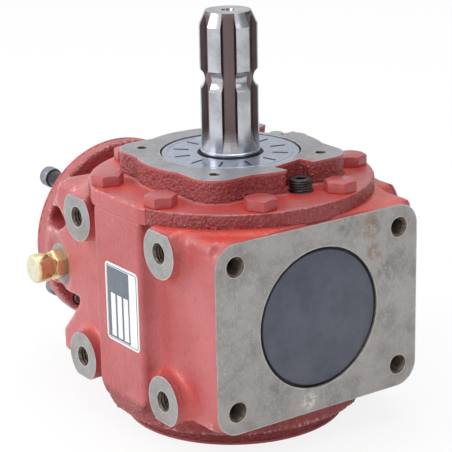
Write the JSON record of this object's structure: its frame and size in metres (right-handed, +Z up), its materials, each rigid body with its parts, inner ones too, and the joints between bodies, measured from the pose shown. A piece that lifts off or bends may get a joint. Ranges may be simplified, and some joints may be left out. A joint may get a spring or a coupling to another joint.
{
  "type": "bevel gearbox",
  "caption": "Right-angle bevel gearbox: red cast casing, upright splined input shaft, square mounting flange, open neck with a ring flange.",
  "frame": {"origin": "centre of the round base face", "axes": "+Z up along the input shaft, +X out of the rectangular flange, the output shaft points to -X"},
  "size_m": [0.2641, 0.1705, 0.2472],
  "materials": {
    "red_enamel": "satin",
    "ground_steel": "satin",
    "gear_steel": "satin",
    "bearing_steel": "polished",
    "seal_rubber": "matte",
    "cap_rubber": "satin",
    "brass": "polished",
    "black_steel": "satin",
    "plate_white": "satin",
    "vent_grey": "matte"
  },
  "bodies": {
    "casing": {"housing": "red_enamel", "cover": "red_enamel", "cover_bolts": "red_enamel", "input_bearing_cups": "bearing_steel", "output_bearing_cups": "bearing_steel", "input_seal": "seal_rubber", "output_seal": "seal_rubber", "side_cap": "cap_rubber", "base_cap": "cap_rubber", "nameplate": "plate_white", "socket_plug": "black_steel", "vent_stub": "vent_grey", "level_plug": "brass", "ring_screws": "ground_steel", "ring_spacers": "black_steel"},
    "input": {"input_shaft": "ground_steel", "crown_gear": "gear_steel", "gear_key": "gear_steel", "gear_spacer": "gear_steel", "input_bearing_cones": "bearing_steel"},
    "output": {"pinion_shaft": "ground_steel", "output_bearing_cones": "bearing_steel", "cone_spacer": "gear_steel", "lock_nut": "gear_steel"},
    "input_roller_sets": {"input_rollers": "bearing_steel"},
    "output_roller_sets": {"output_rollers": "bearing_steel"}
  },
  "joints": [
    {"name": "input_spin", "type": "hinge", "parent": "casing", "child": "input", "pos_m": [0, 0, 0.2], "axis": [0, 0, 1], "continuous": true},
    {"name": "output_spin", "type": "hinge", "parent": "casing", "child": "output", "pos_m": [-0.09, 0, 0.08], "axis": [1, 0, 0], "continuous": true},
    {"name": "input_rollers_spin", "type": "hinge", "parent": "casing", "child": "input_roller_sets", "pos_m": [0, 0, 0.02], "axis": [0, 0, 1], "continuous": true},
    {"name": "output_rollers_spin", "type": "hinge", "parent": "casing", "child": "output_roller_sets", "pos_m": [-0.09, 0, 0.08], "axis": [1, 0, 0], "continuous": true}
  ],
  "couplings": [
    {"joint": "output_spin", "follows": "input_spin", "ratio": -1.9333},
    {"joint": "input_rollers_spin", "follows": "input_spin", "ratio": 0.4187},
    {"joint": "output_rollers_spin", "follows": "input_spin", "ratio": -0.80949}
  ]
}
